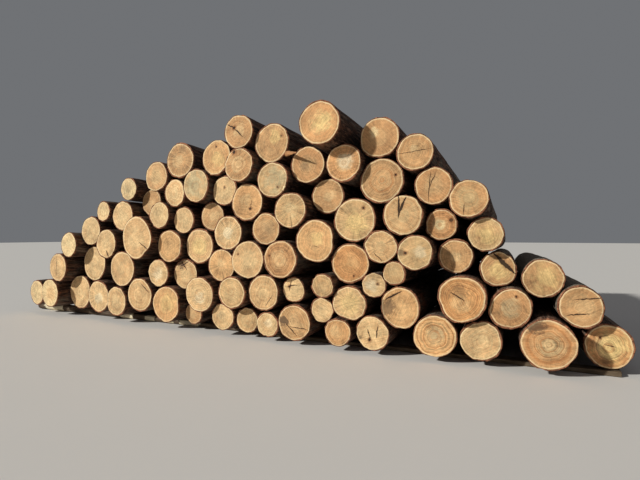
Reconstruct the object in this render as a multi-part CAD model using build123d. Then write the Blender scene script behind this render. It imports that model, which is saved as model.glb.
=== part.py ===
from build123d import *
import os
from math import atan2, cos, degrees, hypot, pi, radians, sin

# Heap of sawlogs lying side by side on bearers, one log length deep.
# Millimetres. X runs along the heap, Y goes from the shown ends into the heap, Z is up.
# Every log tapers: all of them are drawn in towards one far point on the ground, so
# logs that touch at the front ends still touch at the back ends.

# Stock
log_length = 3650.0
far_point_across = -300.0
far_point_depth = 62000.0

# How one log lies against another
seat_clearance = 0.5
widest_hollow_closed = 26.0
angle_between_fillers = 42.0
angle_between_chords = 12.5
pole_sides = 12
unevenness = 0.011

# Bearers under the bottom row
pole_left_end = -4720.0
pole_right_end = 230.0
pole_thick_end = 142.0
pole_thin_end = 55.0
timber_left_end = 290.0
timber_right_end = 4240.0
timber_thickness = 50.0
timber_width = 150.0
bearer_inset = 330.0

# The rows, from the ground up and from left to right, as the ends show them.
# Each log is given in centimetres: across, up, diameter over the bark, set back.
# The bottom row lies on the bearers, which give its height.
bottom_row = [
    (-433, 44, 2), (-387, 49, -5), (-334, 57, 12), (-280, 52, 5), (-232, 46, -1),
    (-132, 54, 1), (-90, 32, 12), (-31, 38, 2), (7, 35, 5), (42, 34, -1), (82, 46, -3),
    (141, 35, -6), (183, 40, -5), (251, 46, -3), (297, 43, 2), (358, 52, -3), (413, 45, 30),
]
upper_rows = [
    [
        (-367, 81, 48, -4), (-301, 89, 56, 14), (-223, 84, 55, 2), (-185, 46, 52, 1),
        (-152, 79, 42, 6), (-107, 79, 46, 14), (-65, 54, 50, -5), (-9, 60, 44, -8),
        (37, 62, 47, -3), (77, 67, 33, 5), (116, 45, 32, 4), (154, 56, 42, -1),
        (213, 55, 47, 1), (279, 69, 50, -7), (325, 62, 43, 1), (387, 66, 43, 16),
    ],
    [
        (-341, 119, 42, -3), (-258, 121, 47, 2), (-187, 131, 65, -2), (-131, 119, 49, 7),
        (-81, 120, 52, 14), (-39, 94, 46, 9), (11, 103, 51, 0), (61, 105, 49, -2),
        (121, 75, 30, -6), (150, 102, 49, 10), (182, 78, 30, 3), (207, 93, 28, -1),
        (231, 116, 40, -8), (271, 113, 39, 13), (313, 100, 38, 18), (355, 92, 41, 18),
    ],
    [
        (-302, 142, 48, 8), (-232, 165, 48, 11), (-149, 164, 41, 5), (-109, 157, 40, 13),
        (-61, 161, 42, 18), (-23, 138, 48, 3), (36, 143, 43, 5), (106, 128, 53, 5),
        (190, 122, 40, 3), (255, 147, 36, 15), (301, 136, 38, 6),
    ],
    [
        (-273, 173, 34, 9), (-188, 186, 42, 27), (-123, 196, 42, 10), (-80, 204, 48, 6),
        (-37, 196, 43, 14), (6, 178, 51, 6), (73, 166, 46, 2), (116, 184, 45, 22),
        (155, 153, 54, 13), (216, 157, 47, 3), (285, 172, 41, -2),
    ],
    [
        (-222, 207, 37, 14), (-159, 222, 46, 10), (-114, 243, 53, 11), (-48, 242, 51, 11),
        (-2, 227, 46, -1), (47, 205, 47, 4), (91, 223, 49, 15), (143, 220, 46, 7),
        (187, 198, 54, 17), (247, 189, 43, 13),
    ],
    [
        (-10, 273, 47, 9), (39, 255, 53, 15), (120, 265, 54, -12), (183, 250, 50, 22),
        (227, 227, 43, 10),
    ],
]

# Logs that aren't round, by row and number: directions in degrees from the right, each with
# the share of the log's radius that its outline has there.
own_shapes = {
    (1, 6): [(38, 1.05), (12, 0.95), (-55, 0.96)],
    (2, 3): [(6, 1.03), (-170, 0.97)],
    (2, 13): [(-80, 1.04), (-170, 0.95), (5, 0.97), (60, 1.01)],
    (2, 14): [(155, 1.05), (-160, 0.95), (70, 1.0)],
    (3, 3): [(-90, 1.03), (-52, 0.9), (-165, 0.96)],
    (3, 4): [(30, 1.04), (-29, 1.03), (110, 0.98), (138, 1.04)],
    (3, 13): [(26, 1.04), (82, 0.98), (140, 1.03), (-70, 0.97)],
    (4, 8): [(68, 1.04), (0, 0.93), (-65, 1.03), (-110, 0.96), (170, 1.02)],
    (4, 9): [(172, 1.04), (95, 0.98), (-105, 0.98)],
    (5, 1): [(80, 1.03), (160, 0.97)],
    (6, 4): [(-48, 0.9), (-104, 1.03), (120, 0.97)],
    (6, 6): [(-18, 0.93), (155, 1.02)],
    (6, 8): [(80, 1.02), (5, 0.98), (-75, 1.03), (175, 0.98)],
    (7, 3): [(150, 1.02), (30, 0.97)],
}

straight_down = -pi / 2


def drawn_in(depth):
    """How much smaller the heap's section is at a depth, as a share of its front section."""
    return 1 - depth / far_point_depth


def bearer_height(across):
    """Height of the bearers' top in the front section."""
    if across > (pole_right_end + timber_left_end) / 2:
        return timber_thickness
    share = (across - pole_left_end) / (pole_right_end - pole_left_end)
    return pole_thick_end + share * (pole_thin_end - pole_thick_end)


class Log:
    """One log: its middle and radius in the front section, and its set-back."""

    def __init__(self, row, number, across, up, diameter, set_back):
        self.row = row
        self.number = number
        self.across = across * CM
        self.radius = diameter * CM / 2
        self.up = up * CM if up is not None else bearer_height(self.across) + self.radius
        self.set_back = set_back * CM
        self.seats = {}

    def radius_at(self, angle):
        """Outline radius: level at each seat and filler, with a cosine blend between them."""
        marks = sorted(self.seats.items())
        marks.append((marks[0][0] + 2 * pi, marks[0][1]))
        while angle < marks[0][0]:
            angle += 2 * pi
        for (start, first), (end, second) in zip(marks, marks[1:]):
            if angle <= end:
                share = (angle - start) / (end - start)
                return first + (second - first) * (1 - cos(pi * share)) / 2
        return marks[0][1]


def lay_rows():
    """All logs of the heap, row by row."""
    logs = [Log(1, i + 1, a, None, d, s) for i, (a, d, s) in enumerate(bottom_row)]
    for row, tally in enumerate(upper_rows, start=2):
        logs += [Log(row, i + 1, *figures) for i, figures in enumerate(tally)]
    return logs


def seat_logs(logs):
    """Each pair of neighbours shares the distance between their middles by their radii."""
    for place, log in enumerate(logs):
        for other in logs[:place]:
            distance = hypot(other.across - log.across, other.up - log.up)
            reach = log.radius + other.radius
            if distance - reach > widest_hollow_closed:
                continue
            angle = atan2(other.up - log.up, other.across - log.across)
            back_angle = angle - pi if angle > 0 else angle + pi
            log.seats[angle] = (distance - seat_clearance) * log.radius / reach
            other.seats[back_angle] = (distance - seat_clearance) * other.radius / reach
        if log.row == 1:
            log.seats[straight_down] = log.up - bearer_height(log.across) - seat_clearance


def add_fillers(log):
    """The log's own marks, and between far-apart ones its radius, slightly uneven."""
    for direction, share in own_shapes.get((log.row, log.number), []):
        log.seats[radians(direction)] = log.radius * share
    angles = sorted(log.seats)
    for start, end in zip(angles, angles[1:] + [angles[0] + 2 * pi]):
        count = int(degrees(end - start) / angle_between_fillers)
        for step in range(1, count):
            angle = start + (end - start) * step / count
            wave = sin(3 * angle + 5 * log.number + 2 * log.row)
            log.seats[angle if angle <= pi else angle - 2 * pi] = log.radius * (1 + unevenness * wave)


def outline(log, depth):
    """Ring of short chords round the log's end, cut square to its run towards the far point."""
    run = Vector(far_point_across - log.across, far_point_depth, -log.up)
    far_point = Vector(far_point_across, far_point_depth, 0)
    middle = far_point - run * drawn_in(depth)
    marks = sorted(log.seats)
    points = []
    for start, end in zip(marks, marks[1:] + [marks[0] + 2 * pi]):
        steps = max(1, round(degrees(end - start) / angle_between_chords))
        for step in range(steps):
            angle = start + (end - start) * step / steps
            radius = log.radius_at(angle)
            front = Vector(log.across + radius * cos(angle), 0, log.up + radius * sin(angle))
            ray = front - far_point
            share = (middle - far_point).dot(run) / ray.dot(run)
            points.append(far_point + ray * share)
    return Wire.make_polygon(points)


def log_solid(log):
    """The log between its two ends, with straight sides."""
    front = outline(log, log.set_back)
    back = outline(log, log.set_back + log_length)
    return Solid.make_loft([front, back], ruled=True)


def pole(depth):
    """Round tapered bearer lying on the ground across the heap."""
    size = drawn_in(depth)
    ends = []
    for across, thickness in ((pole_left_end, pole_thick_end), (pole_right_end, pole_thin_end)):
        place = far_point_across + (across - far_point_across) * size
        radius = thickness * size / 2
        turns = [2 * pi * side / pole_sides for side in range(pole_sides)]
        ring = [Vector(place, depth + radius * cos(turn), radius + radius * sin(turn)) for turn in turns]
        ends.append(Wire.make_polygon(ring))
    return Solid.make_loft(ends, ruled=True)


def timber(depth):
    """Flat sawn bearer across the heap, its top just under the logs."""
    size = drawn_in(depth + timber_width / 2)
    left = far_point_across + (timber_left_end - far_point_across) * size
    right = far_point_across + (timber_right_end - far_point_across) * size
    block = Box(right - left, timber_width, timber_thickness * size,
                align=(Align.MIN, Align.CENTER, Align.MIN))
    return Pos(left, depth, 0) * block


logs = lay_rows()
seat_logs(logs)
for log in logs:
    add_fillers(log)

# Neighbours in a row go to different nodes, so the solids of a node lie apart.
pieces = {}
for log in logs:
    side = "odd" if log.number % 2 else "even"
    pieces.setdefault(f"row_{log.row}_logs_{side}", []).append(log_solid(log))

back_bearer_depth = log_length - bearer_inset
pieces["bearer_pole_front"] = [pole(bearer_inset)]
pieces["bearer_pole_back"] = [pole(back_bearer_depth)]
pieces["bearer_timber_front"] = [timber(bearer_inset)]
pieces["bearer_timber_back"] = [timber(back_bearer_depth)]

# The origin is on the ground under the middle of the heap's box.
box = Compound([solid for solids in pieces.values() for solid in solids]).bounding_box()
origin = Vector((box.min.X + box.max.X) / 2, (box.min.Y + box.max.Y) / 2, box.min.Z)
os.makedirs("parts", exist_ok=True)
for name, solids in pieces.items():
    moved = [Pos(-origin.X, -origin.Y, -origin.Z) * solid for solid in solids]
    export_step(Compound(moved), f"parts/{name}.step")
print("logs", len(logs), "box", box.size, "origin", origin)
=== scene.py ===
import math
import bpy
import numpy as np
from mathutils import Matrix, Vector


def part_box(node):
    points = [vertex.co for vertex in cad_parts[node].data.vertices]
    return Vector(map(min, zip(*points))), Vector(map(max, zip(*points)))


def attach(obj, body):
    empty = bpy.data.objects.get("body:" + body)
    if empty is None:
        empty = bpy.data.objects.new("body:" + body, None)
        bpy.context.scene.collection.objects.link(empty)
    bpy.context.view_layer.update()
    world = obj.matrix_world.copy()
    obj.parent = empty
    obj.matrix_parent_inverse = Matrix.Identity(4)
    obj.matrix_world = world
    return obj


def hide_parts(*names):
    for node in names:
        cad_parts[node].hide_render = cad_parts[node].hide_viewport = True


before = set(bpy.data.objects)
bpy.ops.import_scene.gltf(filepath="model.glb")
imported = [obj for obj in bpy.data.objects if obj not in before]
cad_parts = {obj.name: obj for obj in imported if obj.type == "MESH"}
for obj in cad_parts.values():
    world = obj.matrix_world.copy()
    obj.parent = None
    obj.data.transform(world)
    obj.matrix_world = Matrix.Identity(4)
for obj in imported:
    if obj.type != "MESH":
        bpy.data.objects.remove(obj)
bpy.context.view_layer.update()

# Metres, as the frame. X runs along the heap, Y into it from the shown ends, Z is up.
fullTurn = 2 * np.pi
patternStep = 9.0     # how far one log's pattern lies from the next one's in the same noise
sharpAngle = math.radians(38)     # an edge that bends more stays sharp


def linear(red, green, blue):
    # A colour picker's 0 to 255 numbers as the linear colour that shaders use
    share = np.array([red, green, blue]) / 255
    light = np.where(share <= 0.04045, share / 12.92, ((share + 0.055) / 1.055) ** 2.4)
    return (*light.tolist(), 1.0)


class Link:
    # One output of a shader node. Sums, products and powers of links add Math nodes.
    def __init__(self, paint, socket):
        self.paint = paint
        self.socket = socket

    def __add__(self, other):
        return self.paint.maths("ADD", self, other)

    __radd__ = __add__

    def __sub__(self, other):
        return self.paint.maths("SUBTRACT", self, other)

    def __rsub__(self, other):
        return self.paint.maths("SUBTRACT", other, self)

    def __mul__(self, other):
        return self.paint.maths("MULTIPLY", self, other)

    __rmul__ = __mul__

    def __truediv__(self, other):
        return self.paint.maths("DIVIDE", self, other)

    def __rtruediv__(self, other):
        return self.paint.maths("DIVIDE", other, self)

    def __pow__(self, other):
        return self.paint.maths("POWER", self, other)

    def __rpow__(self, other):
        return self.paint.maths("POWER", other, self)


class Paint:
    # A material being mixed from nodes
    def __init__(self, name):
        self.material = bpy.data.materials.new(name)
        self.material.use_nodes = True
        self.tree = self.material.node_tree
        self.tree.nodes.clear()

    def node(self, kind, settings, inputs, output=0):
        made = self.tree.nodes.new(kind)
        for name, value in settings.items():
            setattr(made, name, value)
        for name, value in inputs.items():
            if isinstance(value, Link):
                self.tree.links.new(value.socket, made.inputs[name])
            else:
                made.inputs[name].default_value = value
        return Link(self, made.outputs[output]) if made.outputs else None

    def maths(self, operation, *values):
        return self.node("ShaderNodeMath", {"operation": operation}, dict(enumerate(values)))

    def attribute(self, name, output):
        return self.node("ShaderNodeAttribute", {"attribute_name": name}, {}, output)

    def numbers(self, vector):
        # The three parts of a vector
        split = self.node("ShaderNodeSeparateXYZ", {}, {0: vector}).socket.node
        return [Link(self, output) for output in split.outputs]

    def vector(self, across, height, way):
        return self.node("ShaderNodeCombineXYZ", {}, {0: across, 1: height, 2: way})

    def stretch(self, vector, factors):
        return self.node("ShaderNodeVectorMath", {"operation": "MULTIPLY"}, {0: vector, 1: factors})

    def noise(self, vector, scale, detail=3.0, roughness=0.55):
        return self.node("ShaderNodeTexNoise", {}, {
            "Vector": vector, "Scale": scale, "Detail": detail, "Roughness": roughness})

    def ease(self, value, low, high, start=0.0, end=1.0):
        # Runs smoothly from start to end while value goes from low to high
        return self.node("ShaderNodeMapRange", {"interpolation_type": "SMOOTHSTEP"}, {
            "Value": value, "From Min": low, "From Max": high, "To Min": start, "To Max": end})

    def mix(self, factor, first, second, blend="MIX"):
        return self.node("ShaderNodeMix", {"data_type": "RGBA", "blend_type": blend},
                         {0: factor, 6: first, 7: second}, 2)

    def ramp(self, value, stops):
        made = self.node("ShaderNodeValToRGB", {}, {0: value})
        elements = made.socket.node.color_ramp.elements
        while len(elements) < len(stops):
            elements.new(1.0)
        for element, (position, colour) in zip(elements, stops):
            element.position = position
            element.color = colour
        return made

    def finish(self, colour, roughness, height, depth):
        normal = self.node("ShaderNodeBump", {}, {"Strength": 1.0, "Distance": depth, "Height": height})
        surface = self.node("ShaderNodeBsdfPrincipled", {}, {
            "Base Color": colour, "Roughness": roughness, "Normal": normal,
            "Specular IOR Level": 0.25})
        self.node("ShaderNodeOutputMaterial", {}, {"Surface": surface})
        return self.material


def separateSolids(nodeName):
    # Corner points of each closed solid in a node, from left to right. The loose triangles are
    # joined where corners share a place, then each corner takes the lowest label it can reach.
    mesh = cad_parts[nodeName].data
    points = np.empty(len(mesh.vertices) * 3)
    mesh.vertices.foreach_get("co", points)
    corners = np.empty(len(mesh.loops), dtype=np.int32)
    mesh.loops.foreach_get("vertex_index", corners)
    places, owner = np.unique(np.round(points.reshape(-1, 3), 5), axis=0, return_inverse=True)
    triangles = owner.ravel()[corners].reshape(-1, 3)
    label = np.arange(len(places))
    while True:
        lower = label.copy()
        np.minimum.at(lower, triangles.ravel(), np.repeat(label[triangles].min(axis=1), 3))
        lower = lower[lower]
        if (lower == label).all():
            break
        label = lower
    solids = [places[label == one] for one in np.unique(label)]
    return sorted(solids, key=lambda solid: solid[:, 0].mean())


def reachOf(ring, right, up, turn):
    # Distance from a ring's middle to its straight edges at each turn: where the ray at that
    # turn crosses the chord between the two ring corners on either side of it
    middle = ring.mean(axis=0)
    across = (ring - middle) @ right
    height = (ring - middle) @ up
    cornerTurn = np.arctan2(height, across) % fullTurn
    order = np.argsort(cornerTurn)
    cornerTurn = cornerTurn[order]
    cornerReach = np.hypot(across, height)[order]
    cornerTurn = np.concatenate([cornerTurn[-1:] - fullTurn, cornerTurn, cornerTurn[:1] + fullTurn])
    cornerReach = np.concatenate([cornerReach[-1:], cornerReach, cornerReach[:1]])
    after = np.clip(np.searchsorted(cornerTurn, turn), 1, len(cornerTurn) - 1)
    startTurn, endTurn = cornerTurn[after - 1], cornerTurn[after]
    startReach, endReach = cornerReach[after - 1], cornerReach[after]
    return (startReach * endReach * np.sin(endTurn - startTurn)
            / (startReach * np.sin(turn - startTurn) + endReach * np.sin(endTurn - turn)))


def lumps(random, around, along, turn, way):
    # Soft random heights from -1 to 1 on a lattice that closes round the piece. turn is in radians
    # and way runs from 0 to 1 along it; heights blend by the cubic 3t^2 - 2t^3 between points.
    lattice = random.uniform(-1, 1, (along + 2, around))
    columnAt = (turn / fullTurn) % 1 * around
    rowAt = np.clip(way, 0, 1) * along
    column, row = np.floor(columnAt).astype(int), np.floor(rowAt).astype(int)
    columnShare, rowShare = columnAt - column, rowAt - row
    columnShare = columnShare ** 2 * (3 - 2 * columnShare)
    rowShare = rowShare ** 2 * (3 - 2 * rowShare)
    nextColumn = (column + 1) % around
    column = column % around
    near = lattice[row, column] * (1 - columnShare) + lattice[row, nextColumn] * columnShare
    far = lattice[row + 1, column] * (1 - columnShare) + lattice[row + 1, nextColumn] * columnShare
    return near * (1 - rowShare) + far * rowShare


def closedGrid(rows, columns):
    # Faces of a grid that closes round its columns and ends in one point at each end: point 0,
    # then the rows, then the last point. All face outwards. Also gives each corner's row, which
    # is -1 at point 0, and its column, counted on past the last one so that a map can be cut
    # open there.
    row, column = np.meshgrid(np.arange(rows - 1), np.arange(columns), indexing="ij")
    row, column = row.ravel(), column.ravel()
    around = np.arange(columns)
    endColumns = np.stack([around, around, around + 1], 1).ravel()
    cornerRows = np.concatenate([
        np.tile([-1, 0, 0], columns),
        np.stack([row, row + 1, row + 1, row], 1).ravel(),
        np.tile([rows - 1, rows, rows - 1], columns)])
    cornerColumns = np.concatenate([
        endColumns,
        np.stack([column, column, column + 1, column + 1], 1).ravel(),
        endColumns])
    point = 1 + cornerRows * columns + cornerColumns % columns
    point[cornerRows < 0] = 0
    point[cornerRows == rows] = 1 + rows * columns
    sizes = np.concatenate([np.full(columns, 3), np.full(len(row), 4), np.full(columns, 3)])
    return point, sizes, cornerRows, cornerColumns


def withPoles(values, first, last):
    # A grid's values row by row, between those of its first and last point
    return np.concatenate([[first], values.reshape(-1, *np.shape(first)), [last]])


def turnsOf(columns):
    # The turn of each column round a grid
    return np.arange(columns) * fullTurn / columns


def inCell(u, v, cell, cellCount):
    # The map of one log moved into its own cell of the piece's map
    cellsAcross = math.ceil(math.sqrt(cellCount))
    cellColumn, cellRow = cell % cellsAcross, cell // cellsAcross
    return np.stack([(u + cellColumn) / cellsAcross, (v + cellRow) / cellsAcross], 1)


def addObject(name, data):
    made = bpy.data.objects.new(name, data)
    bpy.context.scene.collection.objects.link(made)
    return made


def makePiece(name, nodeName, parts, materials):
    # One mesh from several grids, with their maps and attributes
    def joined(key):
        return np.concatenate([part[key] for part in parts])

    mesh = bpy.data.meshes.new(name)
    counts = np.cumsum([0] + [len(part["points"]) for part in parts])
    points, sizes = joined("points"), joined("sizes")
    corners = np.concatenate([part["corners"] + first for part, first in zip(parts, counts)])
    mesh.vertices.add(len(points))
    mesh.vertices.foreach_set("co", points.ravel())
    mesh.loops.add(len(corners))
    mesh.loops.foreach_set("vertex_index", corners)
    mesh.polygons.add(len(sizes))
    mesh.polygons.foreach_set("loop_start", np.concatenate([[0], np.cumsum(sizes)[:-1]]))
    mesh.polygons.foreach_set("material_index", joined("finish"))
    mesh.polygons.foreach_set("use_smooth", np.ones(len(sizes), bool))
    mesh.update(calc_edges=True)
    mesh.uv_layers.new(name="OFBake").data.foreach_set("uv", joined("map").ravel())
    for key, firstValues in parts[0]["attributes"].items():
        kind, field = {3: ("FLOAT_VECTOR", "vector"), 4: ("FLOAT_COLOR", "color")}[firstValues.shape[1]]
        layer = mesh.attributes.new(key, kind, "POINT")
        values = np.concatenate([part["attributes"][key] for part in parts])
        layer.data.foreach_set(field, values.ravel())
    mesh.validate()
    mesh.set_sharp_from_angle(angle=sharpAngle)
    for material in materials:
        mesh.materials.append(material)
    piece = addObject(name, mesh)
    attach(piece, "root")
    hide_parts(nodeName)


logShape = {
    "columns": 64,            # corners round a log
    "sideRows": 36,           # rings along its bark
    "crowding": 0.08,         # how far those are drawn together near the ends
    "endGap": 0.006,          # from the cut to the first of them
    "faceRings": (0.07, 0.2, 0.34, 0.48, 0.6, 0.72, 0.83, 0.92, 0.975, 1.0),
    "barkInset": 0.0062,      # the bark's mean surface lies this far inside the CAD outline
    "barkRelief": 0.0055,
    "furrows": (29, 22),      # as many lumps round the log and along it
    "swellings": (7, 5),
    "barkThickness": 0.015,
    "chipDepth": 0.008,       # how deep the bark is chipped off along the cuts
    "chipReach": 0.045,
    "freshReach": 0.016,      # how far the bark shows its fresh colour beside the cuts
    "barkRagged": 0.004,      # how unevenly the bark was cut at the ends
    "sawDip": 0.0016,         # how wavy the saw cut is
    "seam": 0.001,            # dip between the wood and the bark
    "endReach": 0.25,         # the solid's corners this near to an end are that end's outline
    "pithShift": 0.09,        # how far the pith may lie off the middle, as a share of the radius
    "knots": 5,
    "knotHeight": 0.006,
    "knotHalfTurn": 0.3,      # half the knot's width, in radians
    "knotHalfLength": 0.1,
    "leastDepth": 0.0003,     # the bark never comes nearer to the outline
}

# Wood colours as a colour picker gives them
woodTones = {
    "white": (238, 222, 186),
    "cream": (229, 202, 152),
    "yellow": (226, 192, 130),
    "pale": (221, 188, 138),
    "tan": (211, 175, 126),
    "orange": (217, 172, 119),
    "rust": (208, 156, 102),
    "olive": (202, 169, 121),
    "dim": (197, 156, 109),
    "grey": (190, 172, 132),
}

# Logs by row and number from the left. Logs that aren't named here are tan.
logsByTone = {
    "cream": "1.1 1.2 3.1 5.1 6.1",
    "pale": """1.3 1.4 1.5 1.8 1.10 1.13 1.15 1.17 2.2 2.5 2.7 2.10 2.11 2.12 3.2 3.5 3.11
               4.1 4.2 4.3 4.4 4.6 5.3 5.5""",
    "orange": "1.6 1.12 1.14 2.13 3.4 3.6 4.8 5.6 6.4 6.8 7.3",
    "rust": "2.14 3.10",
    "olive": "1.9 2.8 3.9 3.12 3.13 4.11 5.4 5.7 5.9 5.11 6.6",
    "dim": """1.7 1.11 1.16 2.15 2.16 3.8 3.14 3.15 3.16 4.5 4.7 4.10 5.2 5.8
              6.3 6.5 6.7 6.9 6.10 7.1 7.2 7.4 7.5""",
}

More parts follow.
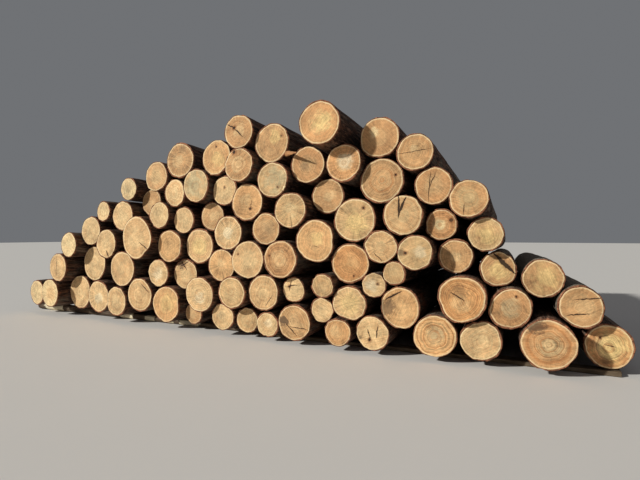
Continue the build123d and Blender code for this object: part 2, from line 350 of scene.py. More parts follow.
# What stands out on single log ends. Places are shares of the log's radius, right and up from
# its middle. A crack and a second one run from one point to another, and gape says how many
# times wider than plain they are. A stain, spot or heart has a middle, a size and a strength;
# the stain on 3.9, at its lower left, is a painted shadow.
faceMarks = {
    "1.2": {"heart": ("orange", 0.1, 0.0, 0.6, 0.7)},
    "1.4": {"heart": ("white", 0.05, -0.1, 0.35, 0.45), "checks": 0.7},
    "1.5": {"stainAndShadow": (0.1, 0.0, 0.5, 0.2)},
    "1.6": {"bands": 0.3, "heart": ("yellow", 0.1, 0.1, 0.6, 0.6)},
    "1.8": {"stainAndShadow": (-0.1, 0.1, 0.3, 0.35)},
    "1.10": {"heart": ("white", 0.0, 0.1, 0.4, 0.35)},
    "1.11": {"crack": (-0.6, 0.0, 0.2, -0.72), "second": (-0.3, -0.24, 0.85, -0.3),
             "stainAndShadow": (-0.6, 0.05, 0.34, 0.9), "gape": 0.8},
    "1.12": {"bands": 0.4, "warmRim": 0.5},
    "1.13": {"crack": (0.34, 0.5, 0.22, -0.28), "second": (-0.3, 0.25, -0.12, -0.3),
             "spot": (-0.16, -0.38, 0.1, 1.0), "stainAndShadow": (-0.7, -0.3, 0.14, 0.7), "gape": 1.2},
    "1.14": {"bands": 0.85, "heart": ("grey", 0.05, 0.1, 0.4, 0.6)},
    "1.16": {"bands": 0.9, "warmRim": 0.5, "stainAndShadow": (-0.42, 0.66, 0.36, 0.85),
             "heart": ("pale", 0.1, -0.05, 0.45, 0.7)},
    "1.17": {"bands": 0.6, "warmRim": 1.0, "heart": ("yellow", 0.2, 0.02, 0.72, 1.0),
             "spot": (-0.28, 0.36, 0.06, 1.0), "stainAndShadow": (-0.1, -0.66, 0.2, 0.5),
             "crack": (-0.15, 0.1, 0.35, 0.02), "gape": 0.6},
    "2.1": {"crack": (-0.08, 0.8, -0.14, -0.6), "gape": 0.7},
    "2.4": {"crack": (0.1, 0.62, 0.78, 0.12), "gape": 1.2},
    "2.5": {"heart": ("white", -0.1, 0.0, 0.5, 0.4)},
    "2.6": {"crack": (-0.35, 0.85, 0.12, 0.25), "second": (0.25, 0.85, -0.4, 0.5),
            "stainAndShadow": (-0.4, 0.72, 0.4, 0.9), "gape": 1.6},
    "2.7": {"heart": ("white", 0.0, -0.15, 0.4, 0.4)},
    "2.9": {"crack": (0.15, -0.7, 0.6, -0.05), "gape": 0.6},
    "2.10": {"crack": (-0.6, 0.2, 0.35, 0.42), "second": (-0.2, 0.8, -0.35, -0.1),
             "spot": (-0.35, 0.25, 0.12, 0.9)},
    "2.12": {"heart": ("yellow", 0.0, 0.0, 0.7, 0.6), "checks": 0.6},
    "2.13": {"crack": (-0.75, 0.3, 0.1, 0.78), "stainAndShadow": (-0.62, 0.0, 0.5, 0.75), "gape": 1.8},
    "2.14": {"bands": 0.7, "crack": (-0.45, 0.35, 0.15, 0.02), "stainAndShadow": (-0.1, 0.3, 0.4, 0.45)},
    "2.15": {"heart": ("grey", 0.0, 0.0, 0.5, 0.55), "spot": (0.22, 0.55, 0.07, 0.9),
             "warmRim": 0.5},
    # 2.16, 3.15, 3.16 and 4.11 have the most greyBark: their bark is drawn lighter and greyer.
    "2.16": {"crack": (-0.25, 0.33, 0.96, 0.46), "second": (-0.6, -0.4, 0.46, -0.26),
             "gape": 0.9, "greyBark": 0.7},
    "3.2": {"crack": (0.04, -0.4, 0.28, -0.85), "gape": 2.0},
    "3.3": {"crack": (0.15, -0.18, 0.85, -0.62), "gape": 1.1},
    "3.4": {"heart": ("orange", 0.2, 0.0, 0.6, 0.7)},
    "3.5": {"heart": ("yellow", 0.0, 0.0, 0.6, 0.8), "warmRim": 0.4},
    "3.6": {"checks": 0.9, "heart": ("pale", 0.1, 0.1, 0.35, 0.5)},
    "3.7": {"spot": (-0.6, 0.3, 0.06, 0.8), "heart": ("pale", 0.1, 0.0, 0.5, 0.7)},
    "3.8": {"bands": 0.6, "spot": (-0.62, 0.16, 0.08, 0.7), "warmRim": 0.6},
    # painted shadow: this stain darkens the lower left of 3.9
    "3.9": {"stainAndShadow": (-0.4, -0.3, 0.4, 0.3)},
    "3.10": {"bands": 0.4, "spot": (0.2, -0.62, 0.06, 0.8), "warmRim": 0.6},
    "3.11": {"heart": ("white", -0.2, 0.1, 0.6, 0.5), "spot": (0.32, 0.12, 0.12, 0.7)},
    "3.13": {"spot": (-0.45, -0.02, 0.1, 0.9), "stainAndShadow": (-0.72, 0.02, 0.24, 0.7),
             "heart": ("white", 0.3, 0.05, 0.34, 0.4)},
    "3.14": {"checks": 0.8, "heart": ("pale", 0.0, -0.15, 0.35, 0.6)},
    # On 3.15 the crack, four times as wide as plain, paints a broad dark band from the upper left to the
    # lower right.
    "3.15": {"crack": (-0.25, 0.85, 0.85, -0.25), "gape": 4.0, "greyBark": 0.4,
             "heart": ("yellow", 0.0, -0.1, 0.6, 0.8)},
    "3.16": {"heart": ("yellow", 0.1, 0.0, 0.65, 0.7), "greyBark": 0.6},
    "4.6": {"checks": 1.0, "heart": ("white", 0.02, 0.0, 0.36, 0.5)},
    "4.7": {"stainAndShadow": (0.0, -0.1, 0.6, 0.25)},
    "4.8": {"heart": ("yellow", 0.15, 0.15, 0.35, 0.6), "crack": (-0.1, -0.2, 0.25, -0.3),
            "gape": 0.5},
    "4.9": {"checks": 0.8, "crack": (-0.42, -0.28, 0.15, -0.82), "gape": 0.6},
    "4.10": {"bands": 0.6, "warmRim": 0.9, "spot": (0.6, 0.24, 0.16, 0.8),
             "heart": ("cream", -0.1, 0.0, 0.4, 0.8)},
    "4.11": {"heart": ("yellow", 0.0, 0.0, 0.6, 0.7), "greyBark": 0.4},
    "5.4": {"heart": ("grey", -0.1, 0.1, 0.85, 0.8)},
    "5.5": {"spot": (0.0, 0.2, 0.1, 0.6)},
    "5.6": {"spot": (0.22, -0.35, 0.09, 0.9), "crack": (0.22, -0.35, 0.3, 0.1), "gape": 0.5,
            "warmRim": 0.4},
    "5.7": {"checks": 1.0, "heart": ("cream", 0.1, 0.0, 0.35, 0.5)},
    "5.9": {"checks": 0.7, "spot": (0.4, 0.55, 0.07, 0.9),
            "heart": ("yellow", 0.05, -0.1, 0.55, 0.8)},
    "5.10": {"crack": (-0.22, 0.95, -0.22, -0.15), "second": (0.12, 0.88, -0.2, 0.1), "gape": 2.4},
    "5.11": {"heart": ("olive", -0.05, 0.0, 0.6, 1.0), "warmRim": 0.7,
             "crack": (-0.24, -0.25, -0.26, -0.85), "gape": 0.6},
    "6.1": {"stainAndShadow": (-0.1, 0.1, 0.6, 0.35)},
    "6.2": {"heart": ("olive", 0.0, 0.1, 0.5, 0.8), "warmRim": 0.4},
    "6.3": {"checks": 1.0, "heart": ("pale", -0.1, 0.0, 0.4, 0.6), "stainAndShadow": (0.2, 0.62, 0.3, 0.3)},
    "6.4": {"heart": ("yellow", 0.1, -0.1, 0.5, 0.6), "spot": (-0.05, 0.58, 0.07, 0.8)},
    "6.5": {"spot": (-0.32, 0.76, 0.13, 1.0), "checks": 0.6},
    "6.6": {"heart": ("grey", 0.2, 0.1, 0.8, 0.7), "spot": (0.35, -0.38, 0.08, 0.7)},
    "6.7": {"stainAndShadow": (-0.15, -0.1, 0.26, 0.4), "warmRim": 0.5},
    "6.8": {"bands": 0.4, "warmRim": 0.7, "heart": ("white", 0.12, 0.1, 0.45, 0.6), "checks": 0.8},
    "6.9": {"bands": 0.8, "spot": (0.58, 0.22, 0.06, 1.0)},
    "6.10": {"crack": (-0.14, 0.86, -0.3, -0.9), "second": (0.08, 0.66, -0.22, -0.1), "gape": 0.7,
             "warmRim": 0.5},
    "7.1": {"spot": (-0.28, 0.24, 0.12, 1.0), "crack": (-0.28, 0.24, 0.36, -0.36),
            "second": (-0.75, 0.46, -0.28, 0.24), "gape": 1.3},
    "7.2": {"heart": ("yellow", 0.15, 0.25, 0.4, 0.7), "spot": (0.52, 0.28, 0.08, 0.6)},
    "7.3": {"heart": ("yellow", 0.05, 0.0, 0.5, 1.0), "warmRim": 0.6, "bands": 0.3},
    "7.4": {"heart": ("cream", -0.25, 0.28, 0.26, 0.8), "warmRim": 0.5},
    "7.5": {"crack": (-0.88, -0.06, 0.86, 0.12), "gape": 0.6, "bands": 0.5,
            "heart": ("pale", -0.1, 0.18, 0.25, 0.7)},
}
plainEnd = {
    "crack": (9.0, 9.0, 9.5, 9.5),     # off the log
    "second": (9.0, 9.0, 9.5, 9.5),
    "stainAndShadow": (0.0, 0.0, 0.1, 0.0),
    "spot": (0.0, 0.0, 0.1, 0.0),
}

# Torn slivers left at the felling cut. The root is given as shares of the log's radius, the
# reach from it in metres to the right, up and out of the end.
slivers = {
    "6.6": {"root": (0.62, -0.5), "reach": (0.055, 0.02, 0.05), "width": 0.05, "thickness": 0.018,
            "colour": (232, 210, 164)},
    "7.2": {"root": (0.74, -0.6), "reach": (0.235, -0.04, 0.18), "width": 0.062, "thickness": 0.03,
            "colour": (138, 98, 64)},
}


def toneOf(key):
    for tone, keys in logsByTone.items():
        if key in keys.split():
            return tone
    return "tan"


def barkDepth(random, turn, way, length, shape):
    # How far the bark lies inside the outline: the mean inset, less soft furrows and swellings,
    # less a hump over each knot that falls off by e^(-d^2) with the distance d from it
    share = way / length
    furrows = lumps(random, *shape["furrows"], turn, share)
    swellings = lumps(random, *shape["swellings"], turn, share)
    depth = shape["barkInset"] - shape["barkRelief"] * (0.7 * furrows + 0.6 * swellings)
    for knot in range(shape["knots"]):
        knotTurn, knotWay = random.uniform(0, fullTurn), random.uniform(0.3, length - 0.3)
        gapRound = ((turn - knotTurn + np.pi) % fullTurn - np.pi) / shape["knotHalfTurn"]
        gapAlong = (way - knotWay) / shape["knotHalfLength"]
        depth -= shape["knotHeight"] * np.exp(-gapRound ** 2 - gapAlong ** 2)
    return np.maximum(depth, shape["leastDepth"])


def sawCut(random, rimReach, chipped, pith, turn, shape):
    # Rows of one end, as places right and up from the log's middle line and ways into the end:
    # rings of wood at shares of the way from the pith to the wood's edge, then two of cut bark
    ringShare = np.array(shape["faceRings"])[:, None]
    uneven = 0.45 * lumps(random, 5, 1, turn, 0 * turn)
    uneven = uneven + 0.25 * lumps(random, 19, 1, turn, 0 * turn)
    thickness = shape["barkThickness"] * (1 + uneven)
    wood = rimReach - thickness
    across = pith[0] * (1 - ringShare) + ringShare * wood * np.cos(turn)
    height = pith[1] * (1 - ringShare) + ringShare * wood * np.sin(turn)
    way = shape["sawDip"] * (1 + lumps(random, 5, 3, turn, ringShare))
    way[-1] += shape["seam"]
    ragged = shape["barkRagged"] * (0.6 + 0.5 * lumps(random, 23, 1, turn, 0 * turn))
    inner = wood + 1.5 * shape["seam"]
    crest = wood + thickness * (0.6 - 0.4 * chipped)
    return (np.vstack([across, inner * np.cos(turn), crest * np.cos(turn)]),
            np.vstack([height, inner * np.sin(turn), crest * np.sin(turn)]),
            np.vstack([way, way[-1] + 0.5 * ragged + shape["seam"], 0.4 * ragged]))


def logMap(faceRow, sizes, cornerRows, cornerColumns, growthRows, columnCount, endRows):
    # The bark lies as a strip, with both ends as discs above it. A disc's radius follows the
    # growth share, plus a little more with each row, so that the cut bark has a ring too.
    rowCount = len(growthRows)
    cornerFaceRow = np.repeat(faceRow, sizes)
    cornerTurn = cornerColumns * fullTurn / columnCount
    rowSize = np.concatenate([np.linspace(0, 1, endRows + 1), np.ones(rowCount - 2 * endRows),
                              np.linspace(1, 0, endRows + 1)])
    discSize = 0.95 * np.concatenate([[0], growthRows, [0]]) + 0.05 * rowSize
    discReach = 0.225 * discSize[cornerRows + 1]
    isFront, isBack = cornerFaceRow < endRows - 1, cornerFaceRow >= rowCount - endRows
    discMiddle = np.where(isFront, 0.25, 0.75)
    u = np.where(isFront | isBack, discMiddle + discReach * np.cos(cornerTurn),
                 0.02 + 0.96 * (cornerRows - endRows + 1) / (rowCount - 2 * endRows + 1))
    v = np.where(isFront | isBack, 0.75 + discReach * np.sin(cornerTurn),
                 0.02 + 0.47 * cornerColumns / columnCount)
    return u, v


def logMarks(random, key, number, across, height, way, growth, cut, pith, radius, length):
    # What the materials read at each point: its place from the pith, its share of the growth,
    # its colours and what stands out on its end
    marks = faceMarks.get(key, {})
    isBackPoint = way > length / 2

    def onEnds(name):
        # The front end has the named mark; two back ends in five have a crack from the pith
        values = np.array(marks.get(name, plainEnd[name]))
        values[:3] *= radius
        values[:2] -= pith
        other = np.array(plainEnd[name])
        if name in ("crack", "second"):
            values[3] *= radius
            values[2:] -= pith
        if name == "crack" and random.uniform() < 0.4:
            crackTurn = random.uniform(0, fullTurn)
            other = 0.8 * radius * np.array([0, 0, math.cos(crackTurn), math.sin(crackTurn)])
        return np.where(isBackPoint[:, None], other, values)

    tone = np.array(linear(*woodTones[toneOf(key)]))
    tone[:3] *= random.uniform(0.95, 1.04)
    heartTone, *heart = marks.get("heart", (
        "pale", *random.uniform(-0.15, 0.15, 2), random.uniform(0.35, 0.6), random.uniform(0.1, 0.5)))
    heart = np.array(heart)
    heart[:3] *= radius
    heart[:2] -= pith
    look = [marks.get("bands", random.uniform(0.1, 0.4)),
            marks.get("warmRim", random.uniform(0, 0.25)),
            marks.get("checks", random.uniform(0, 0.2))]
    greyBark = marks.get("greyBark", random.uniform(0, 0.2))
    sawTurn = random.uniform(0, np.pi)
    flat = np.ones(len(way))
    return {
        "place": np.stack([across - pith[0], height - pith[1], way + patternStep * number], 1),
        "growth": np.stack([growth, growth * radius, sawTurn * flat], 1),
        "skin": np.stack([cut, greyBark * flat, marks.get("gape", 1.0) * flat], 1),
        "look": np.outer(flat, look),
        "tone": np.outer(flat, tone),
        "heart": np.outer(flat, heart),
        "heartTone": np.outer(flat, linear(*woodTones[heartTone])),
        **{name: onEnds(name) for name in plainEnd},
    }


def logPart(solid, key, number, cell, cellCount, shape):
    # A log as one closed grid: its rows run from the pith of the front end out over the saw cut,
    # over the cut bark, along the bark, and back in over the other end. The bark's distance from
    # the middle line is the outline's, going evenly from the front one to the back one, less the
    # depth of its furrows and chips.
    random = np.random.default_rng(number)
    front = solid[solid[:, 1] < solid[:, 1].min() + shape["endReach"]]
    back = solid[solid[:, 1] > solid[:, 1].max() - shape["endReach"]]
    middle = front.mean(axis=0)
    run = back.mean(axis=0) - middle
    length = np.linalg.norm(run)
    axis = run / length
    right = np.cross(axis, (0, 0, 1))
    right /= np.linalg.norm(right)
    up = np.cross(right, axis)
    turn = turnsOf(shape["columns"])
    reach = np.stack([reachOf(front, right, up, turn), reachOf(back, right, up, turn)])
    for smoothing in range(2):     # takes the corners off the straight-sided ring
        reach = (np.roll(reach, 1, axis=1) + 2 * reach + np.roll(reach, -1, axis=1)) / 4
    radius = reach[0].mean()

    step = np.linspace(0, 1, shape["sideRows"])
    share = step - shape["crowding"] * np.sin(fullTurn * step)
    barkWay = (shape["endGap"] + share * (length - 2 * shape["endGap"]))[:, None] + 0 * turn
    depth = barkDepth(random, turn, barkWay, length, shape)
    barkReach = reach[0] + (reach[1] - reach[0]) * barkWay / length - depth
    rimReach = barkReach[[0, -1]]

    # Chips: about one stretch in four of each cut's edge, fading away from the cut
    chips = [np.clip(3 * lumps(random, 21, 1, turn, 0 * turn) - 1, 0, 1) for end in range(2)]
    chipped = (chips[0] * np.exp(-(barkWay / shape["chipReach"]) ** 2)
               + chips[1] * np.exp(-((length - barkWay) / shape["chipReach"]) ** 2))
    barkReach = barkReach - shape["chipDepth"] * chipped
    fromCut = np.minimum(barkWay, length - barkWay)
    freshEdge = 0.75 * np.exp(-(fromCut / shape["freshReach"]) ** 2)

    pithTurn = random.uniform(0, fullTurn)
    pithWay = radius * random.uniform(0.2, 1) * shape["pithShift"]
    pith = np.array([pithWay * math.cos(pithTurn), pithWay * math.sin(pithTurn)])
    frontCut = sawCut(random, rimReach[0], chips[0], pith, turn, shape)
    backAcross, backHeight, backWay = sawCut(random, rimReach[1], chips[1], pith, turn, shape)
    across = np.vstack([frontCut[0], barkReach * np.cos(turn), backAcross[::-1]])
    height = np.vstack([frontCut[1], barkReach * np.sin(turn), backHeight[::-1]])
    way = np.vstack([frontCut[2], barkWay, length - backWay[::-1]])
    woodRows = len(shape["faceRings"])
    endGrowth = np.ones((woodRows + 2, len(turn)))
    endGrowth[:woodRows] = np.array(shape["faceRings"])[:, None]
    growth = np.vstack([endGrowth, np.ones_like(barkWay), endGrowth[::-1]])
    endCut = np.ones_like(endGrowth)
    cut = np.vstack([endCut, np.maximum(0.6 * chipped, freshEdge), endCut])

    # The saw cuts are wood, all else is bark
    rowCount, columnCount = across.shape
    corners, sizes, cornerRows, cornerColumns = closedGrid(rowCount, columnCount)
    faceRow = cornerRows[np.cumsum(sizes) - sizes]
    faceRow[-columnCount:] = rowCount
    isWood = (faceRow < woodRows - 1) | (faceRow >= rowCount - woodRows)
    u, v = logMap(faceRow, sizes, cornerRows, cornerColumns, growth[:, 0], columnCount, woodRows + 2)

    across = withPoles(across, pith[0], pith[0])
    height = withPoles(height, pith[1], pith[1])
    way = withPoles(way, shape["sawDip"], length - shape["sawDip"])
    growth = withPoles(growth, 0, 0)
    cut = withPoles(cut, 1, 1)
    points = middle + np.outer(across, right) + np.outer(height, up) + np.outer(way, axis)
    attributes = logMarks(random, key, number, across, height, way, growth, cut, pith, radius, length)
    seat = {"middle": middle, "right": right, "up": up, "axis": axis, "radius": radius}
    return {"points": points, "corners": corners, "sizes": sizes, "map": inCell(u, v, cell, cellCount),
            "finish": np.where(isWood, 0, 1), "attributes": attributes, "seat": seat}


def sliverPart(seat, number, cell, cellCount, shape):
    # A flat torn tongue of wood from its root in the log to its tip, as a closed grid whose
    # width falls by 1 - 0.75 s^1.4 along it, with an uneven edge
    random = np.random.default_rng(500 + number)
    columns, rows, rootDepth = 14, 16, 0.02
    turn = turnsOf(columns)
    share = np.linspace(0, 1, rows)[:, None]
    outwards = np.array(shape["reach"]) @ np.array([seat["right"], seat["up"], -seat["axis"]])
    length = np.linalg.norm(outwards)
    outwards = outwards / length
    wide = seat["up"] - (seat["up"] @ outwards) * outwards
    wide /= np.linalg.norm(wide)
    thin = np.cross(wide, outwards)
    root = (seat["middle"] + shape["root"][0] * seat["radius"] * seat["right"]
            + shape["root"][1] * seat["radius"] * seat["up"] + rootDepth * seat["axis"])
    torn = 1 + 0.3 * lumps(random, 7, 6, turn, share)
    torn = torn + 0.2 * lumps(random, 13, 11, turn, share)
    taper = (1 - 0.75 * share ** 1.4) * torn
    across = taper * shape["width"] / 2 * np.cos(turn)
    height = taper * shape["thickness"] / 2 * np.sin(turn)
    along = share * (length + rootDepth) + 0.006 * lumps(random, 9, 5, turn, share)
    points = root + across[..., None] * wide + height[..., None] * thin + along[..., None] * outwards
    tip = points[-1].mean(axis=0) + 0.012 * outwards
    points = withPoles(points, root - 0.004 * outwards, tip)
    corners, sizes, cornerRows, cornerColumns = closedGrid(rows, columns)
    u = 0.02 + 0.96 * (cornerRows + 1) / (rows + 1)
    v = 0.02 + 0.96 * cornerColumns / columns
    flat = np.ones(len(points))
    away = points - root
    attributes = {
        "place": np.stack([away @ wide, 0.2 * (away @ outwards), away @ thin + patternStep * number], 1),
        "growth": np.outer(flat, (0.5, 0.1, 0.0)),
        "skin": np.outer(flat, (1.0, 0.0, 1.0)),
        "look": np.outer(flat, (0.2, 0.0, 0.0)),
        "tone": np.outer(flat, linear(*shape["colour"])),
        "heart": np.outer(flat, plainEnd["spot"]),
        "heartTone": np.outer(flat, linear(*shape["colour"])),
        **{name: np.outer(flat, values) for name, values in plainEnd.items()},
    }
    return {"points": points, "corners": corners, "sizes": sizes, "map": inCell(u, v, cell, cellCount),
            "finish": np.zeros(len(sizes), int), "attributes": attributes}


def spanOf(across, height):
    # Distance by Pythagoras
    return (across * across + height * height) ** 0.5


def crackMask(paint, name, place, across, height, width):
    # Distance from a point to the line between the crack's ends, as a share of a width that is
    # uneven and narrows to both ends: under 1 in the open crack, more beside it
    startAcross, startHeight, endAcross = paint.numbers(paint.attribute(name, "Color"))
    endHeight = paint.attribute(name, "Alpha")
    runAcross, runHeight = endAcross - startAcross, endHeight - startHeight
    fromAcross, fromHeight = across - startAcross, height - startHeight
    runSquared = runAcross * runAcross + runHeight * runHeight
    along = (fromAcross * runAcross + fromHeight * runHeight) / runSquared
    along = paint.node("ShaderNodeClamp", {}, {0: along})
    gap = spanOf(fromAcross - along * runAcross, fromHeight - along * runHeight)
    gape = (0.08 + 3.4 * along * (1.0 - along)) * (0.3 + 1.4 * paint.noise(place, 38.0, 4.0, 0.6))
    return gap / (width * gape)


def roundMask(paint, name, across, height, edge, low, high):
    # 1 inside a round mark, by the distance to its middle over its size, its edge moved by noise
    middleAcross, middleHeight, size = paint.numbers(paint.attribute(name, "Color"))
    gap = spanOf(across - middleAcross, height - middleHeight) / size + edge
    return paint.ease(gap, low, high, 1.0, 0.0) * paint.attribute(name, "Alpha")


def mixEndGrain():
    endGrain = {
        "ringGap": 0.0052,      # metres from one growth ring to the next
        "crackWidth": 0.006,
        "jag": 0.04,            # how far cracks stray from a straight line
        "fibreScale": 85.0,
        "patchScale": 9.0,
        "mottleScale": 30.0,
        "relief": 0.0026,
        "rim": linear(246, 220, 172),     # fresh sapwood next to the bark
        "warm": linear(198, 138, 88),
        "ring": linear(182, 124, 76),
        "late": linear(140, 88, 52),      # late wood of the rings, knots, torn wood
        # dark dirt, also the colour of the painted shadow on 3.9
        "dirtAndShadow": linear(70, 56, 46),
        # painted shade inside open cracks, checks and knot holes
        "deep": linear(30, 19, 13),
    }
    paint = Paint("endGrain")
    place = paint.attribute("place", "Vector")
    across, height, way = paint.numbers(place)
    share, metres, sawTurn = paint.numbers(paint.attribute("growth", "Vector"))
    bands, warmRim, checks = paint.numbers(paint.attribute("look", "Vector"))
    gape = paint.numbers(paint.attribute("skin", "Vector"))[2]
    tone = paint.attribute("tone", "Color")

    # Polar direction without a seam: right and up as shares of the distance from the pith
    distance = spanOf(across, height) + 0.0001
    ray = paint.vector(across / distance, height / distance, way)

    # Torn fibres run straight over the cut, at each log's own angle
    sawSide, sawRise = paint.maths("COSINE", sawTurn), paint.maths("SINE", sawTurn)
    sawWay, sawRun = across * sawSide + height * sawRise, height * sawSide - across * sawRise
    fibrePlace = paint.vector(sawWay, 0.08 * sawRun, way)
    fibres = paint.noise(fibrePlace, endGrain["fibreScale"], 4.0, 0.65)

    wander = paint.noise(place, 7.0, 2.0) - 0.5
    year = metres / endGrain["ringGap"] + 2.8 * wander + 0.8 * fibres
    lateWood = paint.maths("FRACT", year) ** 3
    bandWay = metres + 0.07 * wander
    goodYears = paint.noise(paint.vector(bandWay, way * 3.0, 0.0), 34.0, 2.0)
    leanYears = paint.noise(paint.vector(bandWay, way * 3.0, 5.0), 110.0, 2.0)
    rays = paint.noise(paint.stretch(ray, (7.0, 7.0, 1.0)), 1.0, 5.0, 0.72)
    blotches = paint.noise(place, 5.5, 4.0, 0.6)
    patches = paint.noise(paint.vector(across, height, way + 3.0), endGrain["patchScale"], 5.0, 0.65)
    mottle = paint.noise(place, endGrain["mottleScale"], 4.0, 0.65)

    ringed = (0.3 + 1.9 * bands) * paint.ease(metres, 0.01, 0.06) * (leanYears - 0.5)
    rayed = (0.7 + 1.1 * checks) * (rays - 0.5)
    bright = (1.0 + ringed + rayed + 0.8 * (mottle - 0.5) + 1.0 * (fibres - 0.5)
              + 1.4 * (blotches - 0.5))
    warm = endGrain["warm"]
    colour = paint.mix(0.75 * warmRim * paint.ease(share, 0.3, 0.7), tone, warm)
    colour = paint.mix(0.22 * paint.ease(patches, 0.45, 0.62), colour, warm)
    heartEdge = 2.2 * (patches - 0.5) + 1.1 * (rays - 0.5)
    heart = roundMask(paint, "heart", across, height, heartEdge, 0.5, 1.15)
    colour = paint.mix(heart, colour, paint.attribute("heartTone", "Color"))
    ringBands = 0.8 * bands * paint.ease(goodYears, 0.5, 0.58)
    colour = paint.mix(ringBands, colour, endGrain["ring"])
    colour = paint.mix(0.3 * lateWood, colour, endGrain["late"])
    colour = paint.mix(1.0, colour, bright, "MULTIPLY")
    rimmed = paint.ease(share + 0.1 * (rays - 0.5) + 0.06 * (mottle - 0.5), 0.915, 0.97)
    rimmed = rimmed * (0.1 + 1.05 * blotches)
    colour = paint.mix(rimmed, colour, endGrain["rim"])
    dirty = paint.ease(paint.noise(place, 12.0, 6.0, 0.75), 0.58, 0.78)
    colour = paint.mix(0.35 * dirty, colour, endGrain["dirtAndShadow"])

    # Drying checks: thin lines that keep their direction from the pith, of uneven reach
    checkRay = paint.noise(paint.stretch(ray, (2.6, 2.6, 1.0)), 1.0, 1.0)
    gap = paint.maths("ABSOLUTE", checkRay - 0.5)
    checkReach = paint.ease(share + 1.2 * (paint.noise(ray, 3.0) - 0.5), 0.35, 0.6)
    checkMask = paint.ease(gap, 0.001, 0.006, 1.0, 0.0) * checkReach * checks

    # Stains darken the wood towards the dirt colour; the stain on 3.9 is a painted shadow.
    ragged = paint.noise(place, 16.0, 5.0, 0.7)
    stainAndShadowEdge = 2.6 * (ragged - 0.5) + 1.2 * (fibres - 0.5)
    stainAndShadow = roundMask(paint, "stainAndShadow", across, height, stainAndShadowEdge, 0.5, 1.1)
    colour = paint.mix(0.85 * stainAndShadow, colour, endGrain["dirtAndShadow"])
    knot = roundMask(paint, "spot", across, height, 1.4 * (mottle - 0.5), 0.9, 1.9)
    hole = roundMask(paint, "spot", across, height, 1.4 * (mottle - 0.5), 0.55, 0.85)
    colour = paint.mix(0.7 * knot, colour, endGrain["late"])

    jagAcross = across + endGrain["jag"] * (paint.noise(place, 12.0, 6.0, 0.65) - 0.5)
    jagHeight = height + endGrain["jag"] * (paint.noise(place, 14.0, 6.0, 0.65) - 0.5)
    width = endGrain["crackWidth"] * gape
    first = crackMask(paint, "crack", place, jagAcross, jagHeight, width)
    second = crackMask(paint, "second", place, jagAcross, jagHeight, width)
    nearest = paint.maths("MINIMUM", first, second)
    cracks = paint.ease(nearest, 0.7, 1.15, 1.0, 0.0)
    tornWood = paint.ease(nearest + 1.5 * mottle, 1.0, 4.0, 1.0, 0.0)
    colour = paint.mix(0.4 * tornWood, colour, endGrain["late"])
    # Open cracks, checks and knot holes are painted near black: painted shade in openings that are only
    # a bump, not cut into the mesh.
    shadedOpenings = paint.node("ShaderNodeClamp", {}, {0: cracks + hole + 0.55 * checkMask})
    colour = paint.mix(0.93 * shadedOpenings, colour, endGrain["deep"])

    relief = 0.4 * fibres + 0.25 * mottle + 0.12 * lateWood - 1.5 * shadedOpenings
    return paint.finish(colour, 0.66 + 0.24 * mottle, relief, endGrain["relief"])


def mixBark():
    bark = {
        "drawnOut": 0.28,             # how much slower the scales change along the log
        "plateScale": 34.0,
        "furrowScale": 22.0,
        "fineScale": 130.0,
        "relief": 0.016,
        "furrow": linear(18, 11, 10),
        "scale": linear(64, 44, 35),
        "crest": linear(104, 74, 58),
        "flake": linear(150, 120, 98),
        "inner": linear(126, 78, 54),     # where the outer scales came off
        "cut": linear(164, 108, 78),      # reddish section of the bark at the sawn ends
        "greyPatch": linear(140, 130, 114),
    }
    paint = Paint("bark")
    place = paint.attribute("place", "Vector")
    cut, greyness = paint.numbers(paint.attribute("skin", "Vector"))[:2]
    drawn = paint.stretch(place, (1.0, 1.0, bark["drawnOut"]))
    bend = paint.node("ShaderNodeTexNoise", {}, {"Vector": drawn, "Scale": 9.0, "Detail": 3.0}, 1)
    bent = paint.node("ShaderNodeMix", {"data_type": "VECTOR"}, {0: 0.07, 4: drawn, 5: bend}, 1)
    furrowPlace = paint.stretch(place, (1.0, 1.0, 0.12))
    streaks = paint.noise(furrowPlace, bark["furrowScale"], 5.0, 0.65)
    groove = paint.maths("ABSOLUTE", streaks - 0.5)
    cells = {"Vector": bent, "Scale": bark["plateScale"]}
    plate = paint.numbers(paint.node("ShaderNodeTexVoronoi", {"feature": "F1"}, cells, 1))[0]
    edges = paint.node("ShaderNodeTexVoronoi", {"feature": "DISTANCE_TO_EDGE"}, cells)
    fine = paint.noise(drawn, bark["fineScale"], 5.0, 0.7)
    height = (0.34 * paint.ease(groove, 0.0, 0.09) + 0.16 * plate + 0.14 * paint.ease(edges, 0.0, 0.1)
              + 0.36 * fine)
    colour = paint.ramp(height, [(0.2, bark["furrow"]), (0.48, bark["scale"]),
                                 (0.68, bark["crest"]), (0.9, bark["flake"])])
    wornPlaces = paint.noise(paint.stretch(place, (1.0, 1.0, 0.4)), 8.0, 5.0, 0.7)
    worn = paint.ease(wornPlaces + 0.3 * streaks, 0.67, 0.76)
    colour = paint.mix(0.5 * worn * (0.4 + fine), colour, bark["inner"])
    # Grey patches lighten the bark, the more the higher greyBark is.
    greyPlaces = paint.noise(paint.stretch(place, (1.0, 1.0, 0.2)), 9.0, 6.0, 0.72)
    grey = paint.ease(greyPlaces + 0.4 * greyness, 0.5, 0.72)
    colour = paint.mix(0.7 * grey * (0.35 + fine), colour, bark["greyPatch"])
    section = paint.mix(1.0, bark["cut"], 0.1 + 0.7 * fine + 0.9 * plate, "MULTIPLY")
    colour = paint.mix(paint.ease(cut + 0.6 * (fine - 0.5), 0.3, 0.8), colour, section)
    return paint.finish(colour, 0.8 + 0.18 * fine, height, bark["relief"])


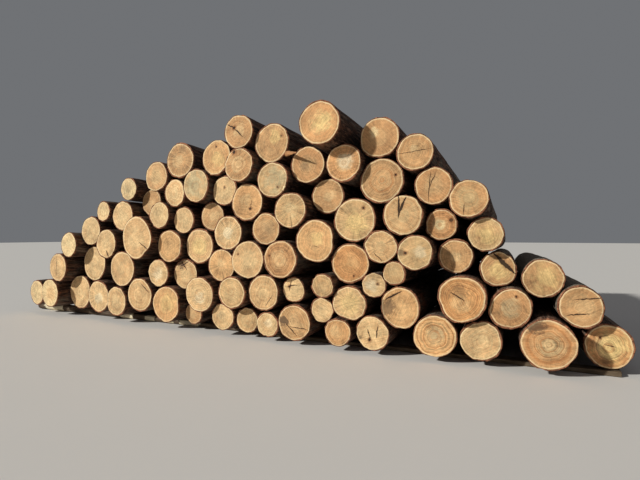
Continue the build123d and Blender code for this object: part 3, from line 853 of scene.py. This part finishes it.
endGrain, bark = mixEndGrain(), mixBark()
logNodes = sorted(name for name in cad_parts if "_logs_" in name)
logNumber = 0
for nodeName in logNodes:
    row = nodeName.split("_")[1]
    first = 1 if nodeName.endswith("odd") else 2
    solids = separateSolids(nodeName)
    keys = [f"{row}.{first + 2 * place}" for place in range(len(solids))]
    torn = [key for key in keys if key in slivers]
    cellCount = len(keys) + len(torn)
    parts = []
    for place, (key, solid) in enumerate(zip(keys, solids)):
        logNumber += 1
        parts.append(logPart(solid, key, logNumber, place, cellCount, logShape))
    for place, key in enumerate(torn):
        seat = parts[keys.index(key)]["seat"]
        parts.append(sliverPart(seat, logNumber + place, len(keys) + place, cellCount, slivers[key]))
    makePiece(nodeName.replace("logs", "sawlogs"), nodeName, parts, [endGrain, bark])
print("logs dressed:", logNumber)


def bearerGrid(rowCount, columnCount, discRings):
    # Faces and map of a bearer. The rows of its cut ends are discs in the map, as large as the
    # rings say, above the strip of its sides.
    corners, sizes, cornerRows, cornerColumns = closedGrid(rowCount, columnCount)
    endRows = len(discRings) - 1
    faceRow = cornerRows[np.cumsum(sizes) - sizes]
    isEnd = (faceRow < endRows) | (faceRow >= rowCount - 1 - endRows)
    cornerEnd = np.repeat(isEnd, sizes)
    disc = np.concatenate([discRings, np.ones(rowCount - 2 * endRows), discRings[::-1]])
    disc = 0.08 * disc[cornerRows + 1]
    discMiddle = np.where(cornerRows < rowCount / 2, 0.1, 0.3)
    cornerTurn = cornerColumns * fullTurn / columnCount
    u = np.where(cornerEnd, discMiddle + disc * np.cos(cornerTurn),
                 0.02 + 0.96 * cornerRows / rowCount)
    v = np.where(cornerEnd, 0.9 + disc * np.sin(cornerTurn),
                 0.02 + 0.76 * cornerColumns / columnCount)
    return {"corners": corners, "sizes": sizes, "map": np.stack([u, v], 1),
            "finish": np.where(isEnd, 1, 0)}


poleLook = {
    "columns": 28,
    "rows": 150,
    "inset": 0.0015,
    "leastDepth": 0.0002,
    "relief": 0.002,
    "endInset": 0.001,
    "endGap": 0.003,      # from the solid's end to the first ring of its side
    "endRings": (0.3, 0.7, 0.97),
    "solidSides": 12,     # sides of the solid that the pole replaces
    # Bare places along it, each with its middle and half its length as shares of the pole
    "wornPatches": ((0.091, 0.05), (0.458, 0.028), (0.562, 0.02), (0.645, 0.013), (0.72, 0.037)),
}


def polePart(solid, number, shape):
    # A round pole, closed at both ends. Its radius goes evenly from that of the solid's left ring
    # to that of its right ring, as near to the middle as the solid's flats, less inset and lumps.
    left = solid[solid[:, 0] < solid[:, 0].min() + 0.05]
    right = solid[solid[:, 0] > solid[:, 0].max() - 0.05]
    random = np.random.default_rng(900 + number)
    start = (left.min(axis=0) + left.max(axis=0)) / 2
    end = (right.min(axis=0) + right.max(axis=0)) / 2
    length = end[0] - start[0]
    endInset, endGap = shape["endInset"], shape["endGap"]
    share = np.linspace(0, 1, shape["rows"])[:, None]
    turn = turnsOf(shape["columns"])
    thick, thin = np.ptp(left[:, 2]) / 2, np.ptp(right[:, 2]) / 2
    radius = (thick + (thin - thick) * share) * math.cos(math.pi / shape["solidSides"])
    uneven = 0.5 * lumps(random, 9, 40, turn, share) + 0.5 * lumps(random, 4, 9, turn, share)
    reach = radius - np.maximum(shape["inset"] - shape["relief"] * uneven, shape["leastDepth"])
    rings = np.array(shape["endRings"])[:, None]
    reach = np.vstack([rings * reach[0], reach, rings[::-1] * reach[-1]])
    along = np.vstack([endInset + 0 * rings, endGap + share * (length - 2 * endGap),
                       length - endInset + 0 * rings])
    middle = start + along * (end - start) / length
    # Turns run backwards in depth, so that the faces look outwards
    points = np.stack([middle[:, :1] + 0 * reach, middle[:, 1:2] - reach * np.cos(turn),
                       middle[:, 2:] + reach * np.sin(turn)], 2)
    points = withPoles(points, start + (endInset, 0, 0), end - (endInset, 0, 0))
    # Bare wood: 1 near the middle of each patch, on the side that faces the log ends
    worn = sum(np.exp(-((along / length - patchMiddle) / halfLength) ** 4)
               for patchMiddle, halfLength in shape["wornPatches"])
    worn = withPoles(worn * np.clip(0.5 + 0.6 * np.cos(turn) + 0.1 * np.sin(turn), 0, 1), 0, 0)
    place = (points - start + (patternStep * number, 0, 0))[:, [1, 2, 0]]
    attributes = {"place": place, "look": np.outer(worn, (1, 0, 0))}
    return {"points": points, "attributes": attributes,
            **bearerGrid(*reach.shape, (0, *shape["endRings"]))}


timberLook = {
    "columns": 40,
    "rows": 60,
    "edge": 0.006,        # how far the corners are worn round
    "wave": 0.0012,
    "endInset": 0.001,
    "roundness": 14,      # the higher, the squarer its section
    "endRings": (0.35, 0.75),
}


def timberPart(nodeName, number, shape):
    # A sawn timber as a rounded rectangle carried along its length, closed at both ends. Its
    # profile is (|cos|^n + |sin|^n)^(-1/n) at each turn, and no more than the square's own edge.
    low, high = (np.array(corner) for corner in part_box(nodeName))
    random = np.random.default_rng(950 + number)
    turn = turnsOf(shape["columns"])
    halfDepth, halfHeight = (high[1] - low[1]) / 2, (high[2] - low[2]) / 2
    side, rise = np.abs(np.cos(turn)), np.abs(np.sin(turn))
    eased = (side ** shape["roundness"] + rise ** shape["roundness"]) ** (-1 / shape["roundness"])
    profile = np.minimum(1 / np.maximum(side, rise), eased)
    share = np.concatenate([[0, 0.0015], np.linspace(0.004, 0.996, shape["rows"]), [0.9985, 1]])
    share = share[:, None]
    inset = shape["wave"] * (1 + lumps(random, 8, 24, turn, share))
    closing = np.where((share == 0) | (share == 1), 1 - shape["edge"] / halfHeight, 1.0)
    across = profile * np.cos(turn) * (halfDepth - inset) * closing
    height = profile * np.sin(turn) * (halfHeight - inset) * closing
    rings = np.array(shape["endRings"])[:, None]
    across = np.vstack([rings * across[0], across, rings[::-1] * across[-1]])
    height = np.vstack([rings * height[0], height, rings[::-1] * height[-1]])
    endInset = shape["endInset"]
    along = np.vstack([0 * rings, share, 1 + 0 * rings]) * (high[0] - low[0] - 2 * endInset) + endInset
    middle = (low + high) / 2
    points = np.stack([low[0] + along + 0 * across, middle[1] - across, middle[2] + height], 2)
    points = withPoles(points, (low[0] + endInset, *middle[1:]), (high[0] - endInset, *middle[1:]))
    place = (points - low + (patternStep * number, 0, 0))[:, [1, 2, 0]]
    return {"points": points, "attributes": {"place": place, "look": 0 * place},
            **bearerGrid(*across.shape, (0, *shape["endRings"], 0.9))}


def mixBearerWood(name, skin):
    wood = {
        "streakScale": 60.0,
        "relief": 0.004,
        "weathered": linear(96, 80, 62),
        "grey": linear(118, 104, 88),
        "brown": linear(84, 66, 50),
        "dark": linear(40, 31, 24),
        "worn": linear(240, 224, 190),     # pale wood where the skin came off, lightened further as painted light where the logs shade the pole
    }
    paint = Paint(name)
    place = paint.attribute("place", "Vector")
    drawn = paint.stretch(place, (1.0, 1.0, 0.06))
    streaks = paint.noise(drawn, wood["streakScale"], 5.0, 0.65)
    patches = paint.noise(place, 6.0, 4.0, 0.6)
    fine = paint.noise(place, 160.0, 3.0)
    colour = paint.ramp(0.6 * streaks + 0.4 * patches, [
        (0.32, wood["dark"]), (0.5, wood[skin]), (0.68, wood["grey"])])
    worn = paint.numbers(paint.attribute("look", "Vector"))[0]
    wornMask = paint.ease(worn + 1.1 * (patches - 0.5) + 0.6 * (streaks - 0.5), 0.28, 0.4)
    # Bare patches, in a colour lightened as painted light
    colour = paint.mix(wornMask * (0.75 + 0.25 * streaks), colour, wood["worn"])
    height = 0.7 * streaks + 0.3 * fine - 0.3 * wornMask
    return paint.finish(colour, 0.74 + 0.2 * fine, height, wood["relief"])


poleSkin = mixBearerWood("poleSkin", "brown")
sawnTimber = mixBearerWood("sawnTimber", "weathered")
for number, nodeName in enumerate(["bearer_pole_front", "bearer_pole_back"]):
    pole = polePart(separateSolids(nodeName)[0], number, poleLook)
    makePiece(nodeName.replace("bearer", "round"), nodeName, [pole], [poleSkin, sawnTimber])
for number, nodeName in enumerate(["bearer_timber_front", "bearer_timber_back"]):
    timber = timberPart(nodeName, number, timberLook)
    makePiece(nodeName.replace("bearer", "flat"), nodeName, [timber],
              [sawnTimber, sawnTimber])
print("bearers dressed: 4")


stage = {
    "floorSize": 160.0,
    "floor": linear(214, 208, 203),
    "speckle": linear(190, 188, 184),
    "sky": linear(232, 236, 242),
    "skyStrength": 0.2,
    "sunTowards": (0.634, 0.634, -0.444),     # from above left in front of the heap
    "sunStrength": 3.95,
    "sunAngle": 2.5,
    "sunColour": linear(250, 252, 247),
}

floorPaint = Paint("paleFloor")
floorPlace = floorPaint.node("ShaderNodeTexCoord", {}, {}, "Object")
speckle = floorPaint.noise(floorPlace, 1.5, 4.0)
floorColour = floorPaint.mix(0.08 * speckle, stage["floor"], stage["speckle"])
half = stage["floorSize"] / 2
floorMesh = bpy.data.meshes.new("floor")
floorCorners = [(-half, -half, 0), (half, -half, 0), (half, half, 0), (-half, half, 0)]
floorMesh.from_pydata(floorCorners, [], [(0, 1, 2, 3)])
floorMesh.materials.append(floorPaint.finish(floorColour, 0.9 - 0.05 * speckle, speckle, 0.0005))
floor = addObject("floor", floorMesh)

world = bpy.data.worlds.new("studio")
world.use_nodes = True
background = world.node_tree.nodes["Background"]
background.inputs["Color"].default_value = stage["sky"]
background.inputs["Strength"].default_value = stage["skyStrength"]
bpy.context.scene.world = world
sunLamp = bpy.data.lights.new("sun", "SUN")
sunLamp.energy = stage["sunStrength"]
sunLamp.angle = math.radians(stage["sunAngle"])
sunLamp.color = stage["sunColour"][:3]
sun = addObject("sun", sunLamp)
sun.rotation_euler = Vector(stage["sunTowards"]).to_track_quat("-Z", "Y").to_euler()
bpy.context.scene.view_settings.view_transform = "Standard"

cameraView = {
    "fromTimber": (3.189, -5.008, 1.35),    # from the front timber's lowest left front corner
    "turnedLeft": 26.0,
    "tiltedDown": 0.645,
    "pixelsOfLens": 444.0,                  # focal length in pixels of the image
    "imageWidth": 640,
}
cameraData = bpy.data.cameras.new("camera")
cameraData.sensor_width = 36.0
cameraData.lens = cameraData.sensor_width * cameraView["pixelsOfLens"] / cameraView["imageWidth"]
camera = addObject("camera", cameraData)
camera.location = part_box("bearer_timber_front")[0] + Vector(cameraView["fromTimber"])
turned, tilted = math.radians(cameraView["turnedLeft"]), math.radians(cameraView["tiltedDown"])
looking = Vector((-math.sin(turned) * math.cos(tilted), math.cos(turned) * math.cos(tilted),
                  -math.sin(tilted)))
camera.rotation_euler = looking.to_track_quat("-Z", "Y").to_euler()
bpy.context.scene.camera = camera
print("stage set")
